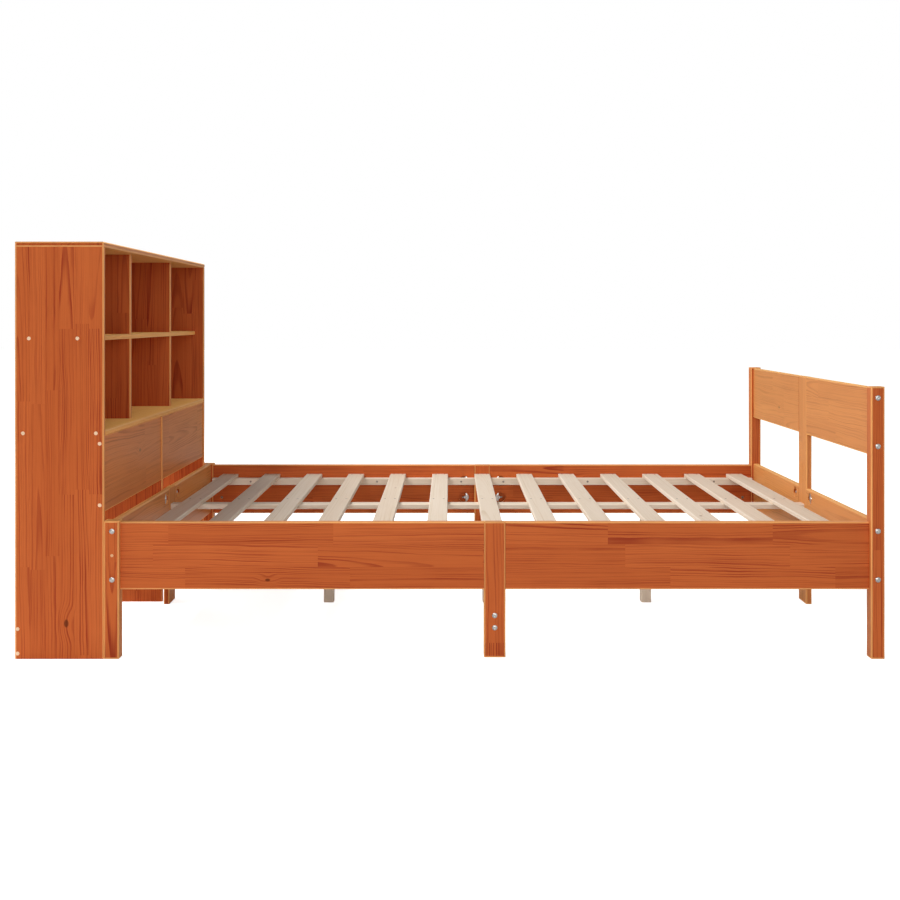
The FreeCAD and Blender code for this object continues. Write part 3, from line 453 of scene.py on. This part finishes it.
def dowel_wood(name):
    """Pale turned hardwood with fine pores, mostly seen as end grain."""
    shader = Shader(name)
    place = shader.object_place()
    pores = shader.noise(place, 1900.0, 3.0, 0.7)
    bands = shader.noise(place, 260.0, 2.0)
    share = shader.math("MULTIPLY_ADD", bands, 0.6, shader.math("MULTIPLY", pores, 0.4))
    shader.coat({"Base Color": shader.mix(share, srgb(200, 142, 92), srgb(236, 190, 140)),
                 "Roughness": shader.spread(pores, 0.5, 0.7),
                 "Normal": shader.bump(pores, 0.3, 0.2 * MM)})
    return shader.material


def dress(node, material):
    """Puts one material on a CAD node."""
    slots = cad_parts[node].data.materials
    slots.clear()
    slots.append(material)


for seed, (node, ways) in enumerate(sorted(STAINED_BOARDS.items()), 1):
    dress(node, pine("stained_" + node, node, ways, seed, OWN_LOOKS.get(node, STAINED)))
for seed, (node, ways) in enumerate(sorted(BARE_BOARDS.items()), 101):
    dress(node, pine("bare_" + node, node, ways, seed, BARE))
dull_zinc = steel("dull_zinc_steel", srgb(126, 123, 118), srgb(184, 180, 172))
bright_zinc = steel("bright_zinc_steel", srgb(190, 190, 188), srgb(226, 225, 221))
bolt_zinc = steel("bolt_zinc_steel", srgb(146, 144, 140), srgb(202, 200, 196))
# The slat screws' steel is darker, partly painted shade round their small heads.
screw_zinc_and_shade = steel("screw_zinc_steel_and_shade", srgb(92, 86, 80), srgb(138, 130, 122))
dress("panel_screws", dull_zinc)

# ---------------------------------------------------------------- hardware

HEAD_RADIUS = 7 * MM
HEAD_HEIGHT = 2.5 * MM
HEAD_EDGE = 0.4 * MM            # the upright edge below the dome
BOLT_RADIUS = 3 * MM
BOLT_THREAD = 12 * MM
SOCKET_RADIUS = 2.3 * MM
SOCKET_DEPTH = 1.6 * MM
SOCKET_CONE = 0.3 * MM          # how much deeper the socket is at its middle
SOCKET_TAPER = 0.1 * MM         # how much narrower it is at its bottom
SOCKET_TOP = 0.15 * MM          # how far its upright sides end below the head's top
SOCKET_LIP = 0.2 * MM           # between the socket and the dome
NECK = 0.2 * MM                 # between a bolt's head and its shank
TIP_LENGTH = 1 * MM
TIP_CHAMFER = 0.8 * MM
THREAD_PITCH = 1 * MM
THREAD_DEPTH = 0.45 * MM
LONGEST_BARREL = 14 * MM        # a longer cross nut is a sleeve nut
BARREL_CHAMFER = 0.6 * MM
SLOT_HALF_WIDTH = 0.7 * MM
SLOT_DEPTH = 1.2 * MM
SLOT_TAPER = 0.1 * MM
SLEEVE_SOCKET_RADIUS = 2.5 * MM
SLEEVE_SOCKET_DEPTH = 3 * MM
LONGEST_MOON = 100 * MM         # a longer solid of the fittings is a rod
ROD_THREAD = 26 * MM
MOON_RADIUS = 17.3 * MM
MOON_FLAT = 6 * MM
MOON_THICKNESS = 9 * MM
HEX_NUT_ACROSS_FLATS = 10 * MM
HEX_NUT_HEIGHT = 5 * MM
EASED = 0.5 * MM                # the easing of half moons, nuts and dowels
SCREW_HEAD_RADIUS = 3.4 * MM
SCREW_HEAD_RISE = 0.15 * MM     # how far a slat screw's head stands proud of the wood
SCREW_RADIUS = 1.6 * MM
SCREW_LENGTH = 27 * MM
SCREW_PAIR_SPACING = 31 * MM
SHARP = math.radians(32)        # faces that meet at a larger angle have a sharp edge
MARGIN = 0.1 * MM               # for telling sizes and places apart
# The half outline of a cap, in shares of its radius and its height.
CAP_OUTLINE = [(0.0, 0.75), (0.62, 0.75), (0.7, 1.0), (0.86, 0.95), (0.96, 0.6), (1.0, 0.0),
               (0.0, 0.0)]

# One solid of a CAD node: its corners, its middle, its size and the axis it is longest along.
Solid = namedtuple("Solid", "low high middle size axis")


def unit(axis, sign=1.0):
    """The unit step along an axis, or against it."""
    step = Vector((0, 0, 0))
    step[axis] = sign
    return step


def outward(axis, middle):
    """The unit step along an axis that leads away from the bed's middle."""
    return unit(axis, 1.0 if middle[axis] > 0 else -1.0)


def solids(node):
    """The separate solids of a CAD node."""
    bm = bmesh.new()
    bm.from_mesh(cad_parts[node].data)
    bmesh.ops.remove_doubles(bm, verts=bm.verts, dist=WELD)
    found = []
    for first in bm.verts:
        if first.tag:
            continue
        first.tag = True
        joined = [first]
        for vert in joined:
            for edge in vert.link_edges:
                other = edge.other_vert(vert)
                if not other.tag:
                    other.tag = True
                    joined.append(other)
        low, high = (Vector([pick(vert.co[axis] for vert in joined) for axis in range(3)])
                     for pick in (min, max))
        size = high - low
        longest = max(range(3), key=lambda axis: size[axis])
        found.append(Solid(low, high, (low + high) / 2, size, longest))
    bm.free()
    return found


def turned(profile, steps=24):
    """A closed form turned from a half outline of (radius, height), with its axis on Z."""
    bm = bmesh.new()
    rings = []
    for radius, height in profile:
        turns = [math.tau * step / steps for step in range(steps if radius > 0 else 1)]
        rings.append([bm.verts.new((radius * math.cos(turn), radius * math.sin(turn), height))
                      for turn in turns])
    for upper, lower in zip(rings, rings[1:]):
        for step in range(steps):
            corners = [ring[(step + ahead) % len(ring)]
                       for ring, ahead in ((upper, 0), (lower, 0), (lower, 1), (upper, 1))]
            bm.faces.new(list(dict.fromkeys(corners)))
    return bm


def draw_to_hexagon(bm, radius, lowest):
    """Pulls the rings within the radius and above the lowest height onto a hexagon."""
    sixth = math.radians(60)
    for vert in bm.verts:
        away = math.hypot(vert.co.x, vert.co.y)
        if away < radius and vert.co.z > lowest:
            from_flat = (math.atan2(vert.co.y, vert.co.x) % sixth) - sixth / 2
            share = math.cos(sixth / 2) / math.cos(from_flat)
            vert.co.x *= share
            vert.co.y *= share


def finished(bm, name):
    """The form as mesh data, its faces outwards and its points and faces in an order that is
    the same in each run, which the steps before don't promise."""
    bmesh.ops.recalc_face_normals(bm, faces=bm.faces)
    places = {vert: tuple(round(part, 9) + 0.0 for part in vert.co) for vert in bm.verts}
    order = {vert: number for number, vert in enumerate(sorted(bm.verts, key=places.get))}
    faces = []
    for face in bm.faces:
        corners = [order[vert] for vert in face.verts]
        first = corners.index(min(corners))
        faces.append(corners[first:] + corners[:first])
    form = bpy.data.meshes.new(name)
    form.from_pydata(sorted(places.values()), [], sorted(faces), shade_flat=False)
    bm.free()
    return form


def shank(radius, top, length, threaded):
    """The outline of a shank from its top down to its chamfered tip, threaded towards the tip."""
    outline = [(radius, top)]
    turns = int(threaded / THREAD_PITCH)
    for turn in range(turns):
        height = top - length + TIP_LENGTH + (turns - turn) * THREAD_PITCH
        outline += [(radius, height), (radius - THREAD_DEPTH, height - THREAD_PITCH / 2)]
    tip = [(radius, top - length + TIP_LENGTH), (radius - TIP_CHAMFER, top - length),
           (0.0, top - length)]
    return outline + tip


def bolt_form(length):
    """A furniture bolt with a domed head and a hex socket; the head's top is at height 0."""
    lip = SOCKET_RADIUS + SOCKET_LIP
    dome = [(lip + (HEAD_RADIUS - lip) * math.sin(turn),
             -(HEAD_HEIGHT - HEAD_EDGE) * (1 - math.cos(turn)))
            for turn in [math.radians(angle) for angle in range(0, 91, 18)]]
    socket = [(0.0, -SOCKET_DEPTH - SOCKET_CONE), (SOCKET_RADIUS - SOCKET_TAPER, -SOCKET_DEPTH),
              (SOCKET_RADIUS, -SOCKET_TOP)]
    rim = [(HEAD_RADIUS, -HEAD_HEIGHT), (BOLT_RADIUS, -HEAD_HEIGHT)]
    neck = HEAD_HEIGHT + NECK
    bm = turned(socket + dome + rim + shank(BOLT_RADIUS, -neck, length - neck, BOLT_THREAD))
    draw_to_hexagon(bm, SOCKET_RADIUS + SOCKET_LIP / 2, -HEAD_HEIGHT)
    return finished(bm, "bolt_form")


def cap_form(radius, height):
    """A moulded cap: a raised rim round a slightly sunk middle."""
    outline = [(radius * out, height * up) for out, up in CAP_OUTLINE]
    return finished(turned(outline), "cap_form")


def dowel_form(radius, length):
    """A dowel pin with chamfered ends, its middle at height 0."""
    half = length / 2
    outline = [(0.0, half), (radius - EASED, half), (radius, half - EASED),
               (radius, EASED - half), (radius - EASED, -half), (0.0, -half)]
    return finished(turned(outline, steps=20), "dowel_form")


def bevel(bm, edges, offset, segments):
    """Chamfers the edges, or rounds them where there are more segments."""
    bmesh.ops.bevel(bm, geom=edges, offset=offset, affect="EDGES", segments=segments, profile=0.5,
                    material=-1)


def level_edges(bm):
    return [edge for edge in bm.edges if abs(edge.verts[0].co.z - edge.verts[1].co.z) < WELD]


def level_faces(bm):
    return [face for face in bm.faces if abs(face.normal.z) > 0.9]


def barrel_form(radius, length):
    """A cross nut: a short barrel with chamfered ends and a driver slot in each of them."""
    bm = bmesh.new()
    bmesh.ops.create_cone(bm, cap_ends=True, segments=24, radius1=radius, radius2=radius,
                          depth=length)
    bevel(bm, level_edges(bm), BARREL_CHAMFER, 1)
    for side in (-SLOT_HALF_WIDTH, SLOT_HALF_WIDTH):
        ends = level_faces(bm)
        rims = list(dict.fromkeys(edge for face in ends for edge in face.edges))
        bmesh.ops.bisect_plane(bm, geom=ends + rims, plane_co=(side, 0, 0), plane_no=(1, 0, 0))
    slots = [face for face in level_faces(bm)
             if abs(face.calc_center_median().x) < SLOT_HALF_WIDTH - MARGIN]
    bmesh.ops.inset_individual(bm, faces=slots, thickness=SLOT_TAPER)
    for face in slots:
        down = -SLOT_DEPTH if face.calc_center_median().z > 0 else SLOT_DEPTH
        sunk = bmesh.ops.extrude_discrete_faces(bm, faces=[face])["faces"]
        bmesh.ops.translate(bm, verts=sunk[0].verts, vec=(0, 0, down))
    return finished(bm, "barrel_form")


def sleeve_form(radius, length):
    """A sleeve nut with a hex socket in its end; the end is at height 0."""
    socket = [(0.0, -SLEEVE_SOCKET_DEPTH),
              (SLEEVE_SOCKET_RADIUS - SOCKET_TAPER, -SLEEVE_SOCKET_DEPTH),
              (SLEEVE_SOCKET_RADIUS, 0.0)]
    bm = turned(socket + [(radius - EASED, 0.0), (radius, -EASED), (radius, -length),
                          (0.0, -length)])
    draw_to_hexagon(bm, SLEEVE_SOCKET_RADIUS + MARGIN, -SLEEVE_SOCKET_DEPTH - MARGIN)
    return finished(bm, "sleeve_form")


def half_moon_form():
    """A half moon: a thick disc cut off by a flat; round towards +X, its height along Z."""
    bm = bmesh.new()
    bmesh.ops.create_circle(bm, cap_ends=True, segments=56, radius=MOON_RADIUS)
    bmesh.ops.bisect_plane(bm, geom=bm.verts[:] + bm.edges[:] + bm.faces[:],
                           plane_co=(MOON_FLAT, 0, 0), plane_no=(1, 0, 0), clear_inner=True)
    raised = bmesh.ops.extrude_face_region(bm, geom=bm.faces[:])["geom"]
    bmesh.ops.translate(bm, verts=[item for item in raised if isinstance(item, bmesh.types.BMVert)],
                        vec=(0, 0, MOON_THICKNESS))
    bevel(bm, level_edges(bm), EASED, 2)
    return finished(bm, "half_moon_form")


def hex_nut_form():
    """A hex nut, its seat at height 0."""
    corner = HEX_NUT_ACROSS_FLATS / 2 / math.cos(math.radians(30))
    bm = bmesh.new()
    bmesh.ops.create_cone(bm, cap_ends=True, segments=6, radius1=corner, radius2=corner,
                          depth=HEX_NUT_HEIGHT,
                          matrix=Matrix.Translation((0, 0, HEX_NUT_HEIGHT / 2)))
    bevel(bm, bm.edges[:], EASED, 2)
    return finished(bm, "hex_nut_form")


def screw_form():
    """A countersunk wood screw with a cross recess; the wood's face is at height 0."""
    radius = SCREW_HEAD_RADIUS
    recess = [(0.0, -1.4 * MM), (radius * 0.42, 0.1 * MM)]
    head = [(radius * 0.9, SCREW_HEAD_RISE), (radius, 0.0), (SCREW_RADIUS, -2.4 * MM)]
    tip = [(SCREW_RADIUS, 3 * MM - SCREW_LENGTH), (0.0, -SCREW_LENGTH)]
    bm = turned(recess + head + tip, steps=16)
    # The recess's rim is drawn in between the four arms of the cross.
    for vert in bm.verts:
        between_arms = abs(vert.co.x) > MARGIN and abs(vert.co.y) > MARGIN
        on_rim = math.hypot(vert.co.x, vert.co.y) < radius / 2 and vert.co.z > SCREW_HEAD_RISE / 3
        if between_arms and on_rim:
            vert.co.x *= 0.4
            vert.co.y *= 0.4
    return finished(bm, "screw_form")


class Assembly:
    """One piece gathered from copies of forms, each set at its seat."""

    def __init__(self, name, material, slot):
        self.name, self.material, self.slot = name, material, slot
        self.bm = bmesh.new()

    def add(self, form, seat, way, round_side=None):
        """Sets a form so that its Z points along way and, where given, its X along round_side."""
        up = Vector(way).normalized()
        if round_side is None:
            turn = Vector((0, 0, 1)).rotation_difference(up).to_matrix()
        else:
            side = Vector(round_side).normalized()
            turn = Matrix((side, up.cross(side), up)).transposed()
        copy = form.copy()
        copy.transform(Matrix.Translation(seat) @ turn.to_4x4())
        self.bm.from_mesh(copy)
        bpy.data.meshes.remove(copy)

    def piece(self, *nodes):
        """Makes the piece, in place of the CAD nodes that are named."""
        mesh = bpy.data.meshes.new(self.name)
        self.bm.to_mesh(mesh)
        self.bm.free()
        mesh.set_sharp_from_angle(angle=SHARP)
        mesh.materials.append(self.material)
        made = bpy.data.objects.new(self.name, mesh)
        bpy.context.scene.collection.objects.link(made)
        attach(made, "root")
        if nodes:
            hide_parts(*nodes)


def fit_bolts():
    """Domed bolts, their heads outwards."""
    bolts = Assembly("domed_bolts", bolt_zinc, "zinc_steel")
    for bolt in solids("frame_bolts"):
        way = outward(bolt.axis, bolt.middle)
        length = bolt.size[bolt.axis]
        bolts.add(bolt_form(length), bolt.middle + way * length / 2, way)
    bolts.piece("frame_bolts")


def fit_cross_nuts():
    """Slotted barrels in the boards, and sleeve nuts in the leg blocks, sockets inwards."""
    nuts = Assembly("slotted_cross_nuts", dull_zinc, "zinc_steel")
    for nut in solids("cross_nuts"):
        way = outward(nut.axis, nut.middle)
        radius, length = min(nut.size) / 2, nut.size[nut.axis]
        if length > LONGEST_BARREL:
            nuts.add(sleeve_form(radius, length), nut.middle - way * length / 2, -way)
        else:
            nuts.add(barrel_form(radius, length), nut.middle, way)
    nuts.piece("cross_nuts")


def fit_half_moons():
    """Rods threaded at both ends, and at each end a half moon with a hex nut on its flat."""
    fittings = Assembly("half_moons_and_rods", bright_zinc, "zinc_steel")
    found = solids("half_moon_fittings")
    rods = [solid for solid in found if max(solid.size) > LONGEST_MOON]
    moons = [solid for solid in found if max(solid.size) < LONGEST_MOON]
    for rod in rods:
        outline = [(0.0, 0.0)] + shank(BOLT_RADIUS, 0.0, rod.size[rod.axis] / 2, ROD_THREAD)
        for sign in (1, -1):
            fittings.add(finished(turned(outline, steps=20), "rod_form"), rod.middle,
                         unit(rod.axis) * sign)
    for moon in moons:
        rod = min(rods, key=lambda rod: (rod.middle - moon.middle).length)
        axis = rod.axis
        away = unit(axis, 1.0 if moon.middle[axis] > rod.middle[axis] else -1.0)
        thick = next(index for index in range(3)
                     if abs(moon.size[index] - MOON_THICKNESS) < MARGIN)
        flat = moon.middle + away * moon.size[axis] / 2
        seat = flat + away * MOON_FLAT
        seat[thick] = moon.low[thick]
        fittings.add(half_moon_form(), seat, unit(thick), -away)
        nut_seat = flat.copy()
        nut_seat[thick] = rod.middle[thick]
        fittings.add(hex_nut_form(), nut_seat, away)
    fittings.piece("half_moon_fittings")


def fit_caps():
    """Cream caps over the screws in the side panels."""
    caps = Assembly("cream_caps", plastic("cream_plastic"), "cream_plastic")
    for cap in solids("screw_caps"):
        way = outward(1, cap.middle)
        caps.add(cap_form(cap.size.z / 2, cap.size.y), cap.middle - way * cap.size.y / 2, way)
    caps.piece("screw_caps")


def fit_dowels():
    """Dowel pins, two of which show as plugs in the head legs."""
    pins = Assembly("dowel_pins", dowel_wood("dowel_wood"), "natural_pine")
    for pin in solids("dowels"):
        pins.add(dowel_form(min(pin.size) / 2, pin.size[pin.axis]), pin.middle, unit(pin.axis))
    pins.piece("dowels")


# The gaps between slats, by the slats' numbers, in which a screw goes through the battens.
BATTEN_SCREW_GAPS = [(1, 2), (4, 5), (6, 7), (7, 8), (9, 10), (12, 13)]


def fit_slat_screws():
    """Pairs of screws where each slat lies on the beam and the battens, and screws through the
    battens into the rails."""
    screws = Assembly("slat_screws", screw_zinc_and_shade, "zinc_steel")
    form = screw_form()
    batten_low, batten_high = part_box("slat_batten_far_foot")
    batten_middle = (batten_low + batten_high) / 2
    for slat in SLATS:
        low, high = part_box(slat)
        for y in (-batten_middle.y, 0.0, batten_middle.y):
            for side in (-1, 1):
                x = (low.x + high.x) / 2 + side * SCREW_PAIR_SPACING / 2
                screws.add(form, (x, y, high.z), (0, 0, 1))
    for first, second in BATTEN_SCREW_GAPS:
        x = (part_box(SLATS[first - 1])[1].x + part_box(SLATS[second - 1])[0].x) / 2
        for side in (-1, 1):
            screws.add(form, (x, side * batten_low.y, batten_middle.z), (0, -side, 0))
    screws.piece()


fit_bolts()
fit_cross_nuts()
fit_half_moons()
fit_caps()
fit_dowels()
fit_slat_screws()

# ---------------------------------------------------------------- floor, light and camera

FLOOR_HALF_SIZE = 30.0
FLOOR_GAP = 0.5 * MM
# The floor glows to the eye alone. Near the bed, where it keeps the shadow, it glows less, and
# from NEAR to FAR, in metres from the middle, the glow rises to full.
NEAR, FAR = 1.3, 3.2
NEAR_GLOW = 0.82
# The surround's strength as light and in reflections. To the eye it is white.
AMBIENT = 0.12
MIRRORED = 0.62
LAMPS = {
    # name: place, aim, size, watts
    "key_left": ((-2.6, -0.5, 3.9), (0.4, 0.0, 0.3), (1.6, 1.6), 194),
    "front_fill": ((0.3, -6.0, 1.8), (0.0, 0.0, 0.4), (4.0, 3.0), 142),
    "left_back": ((-4.2, 3.6, 1.8), (1.0, 0.0, 0.4), (2.4, 2.4), 102),
    "right_fill": ((4.5, -0.5, 1.6), (-0.8, 0.0, 0.4), (2.5, 2.5), 38),
}
# The camera looks level across the bed. Its lens is shifted, as the photograph's horizon lies
# above the middle of the frame.
EYE = (0.0, -3.6815, 0.861)
FOCAL_PIXELS = 1205.0
FRAME_PIXELS = 900.0
HORIZON_PIXEL = 319.3


def place_in_scene(name, data, place):
    """A new object with its data in the scene."""
    made = bpy.data.objects.new(name, data)
    made.location = place
    bpy.context.scene.collection.objects.link(made)
    return made


def floor_material():
    """A plain pale floor that looks white where it is lit, and keeps the shadow."""
    shader = Shader("pale_floor")
    path = shader.node("ShaderNodeLightPath")
    reach = shader.length(shader.object_place())
    glow = shader.span(reach, NEAR, FAR, NEAR_GLOW, 1.0, smooth=True)
    shader.coat({
        "Base Color": srgb(236, 236, 236), "Roughness": 0.9, "Specular IOR Level": 0.0,
        "Emission Color": WHITE,
        "Emission Strength": shader.math("MULTIPLY", path.outputs["Is Camera Ray"], glow),
    })
    return shader.material


def lay_floor():
    """A wide floor just below the bed."""
    bm = bmesh.new()
    bmesh.ops.create_grid(bm, x_segments=1, y_segments=1, size=FLOOR_HALF_SIZE,
                          matrix=Matrix.Translation((0, 0, cad_box[0].z - FLOOR_GAP)))
    mesh = bpy.data.meshes.new("floor")
    bm.to_mesh(mesh)
    bm.free()
    mesh.materials.append(floor_material())
    floor = place_in_scene("floor", mesh, (0, 0, 0))


def surround():
    """A white world to the eye that gives little light of its own."""
    world = bpy.data.worlds.new("studio")
    bpy.context.scene.world = world
    world.use_nodes = True
    nodes, links = world.node_tree.nodes, world.node_tree.links
    path = nodes.new("ShaderNodeLightPath")
    level = nodes.new("ShaderNodeMapRange")
    level.inputs["To Min"].default_value = AMBIENT
    level.inputs["To Max"].default_value = MIRRORED
    links.new(path.outputs["Is Glossy Ray"], level.inputs["Value"])
    strength = nodes.new("ShaderNodeMath")
    strength.operation = "MAXIMUM"
    links.new(level.outputs["Result"], strength.inputs[0])
    links.new(path.outputs["Is Camera Ray"], strength.inputs[1])
    links.new(strength.outputs[0], nodes["Background"].inputs["Strength"])
    nodes["Background"].inputs["Color"].default_value = WHITE


def softbox(name, place, target, size, watts):
    """A rectangular area lamp that faces its target."""
    lamp = bpy.data.lights.new(name, "AREA")
    lamp.shape = "RECTANGLE"
    lamp.size, lamp.size_y = size
    lamp.energy = watts
    holder = place_in_scene(name, lamp, place)
    holder.rotation_mode = "QUATERNION"
    holder.rotation_quaternion = (Vector(target) - Vector(place)).to_track_quat("-Z", "Y")


def set_camera():
    """The camera at the eye, looking along +Y."""
    camera = bpy.data.cameras.new("camera")
    camera.sensor_width = 36.0
    camera.lens = camera.sensor_width * FOCAL_PIXELS / FRAME_PIXELS
    camera.shift_y = (HORIZON_PIXEL - FRAME_PIXELS / 2) / FRAME_PIXELS
    camera.clip_end = 100.0
    viewer = place_in_scene("camera", camera, EYE)
    viewer.rotation_euler = (math.pi / 2, 0.0, 0.0)
    bpy.context.scene.camera = viewer


lay_floor()
surround()
for name, lamp in LAMPS.items():
    softbox(name, *lamp)
set_camera()
bpy.context.scene.view_settings.view_transform = "Standard"
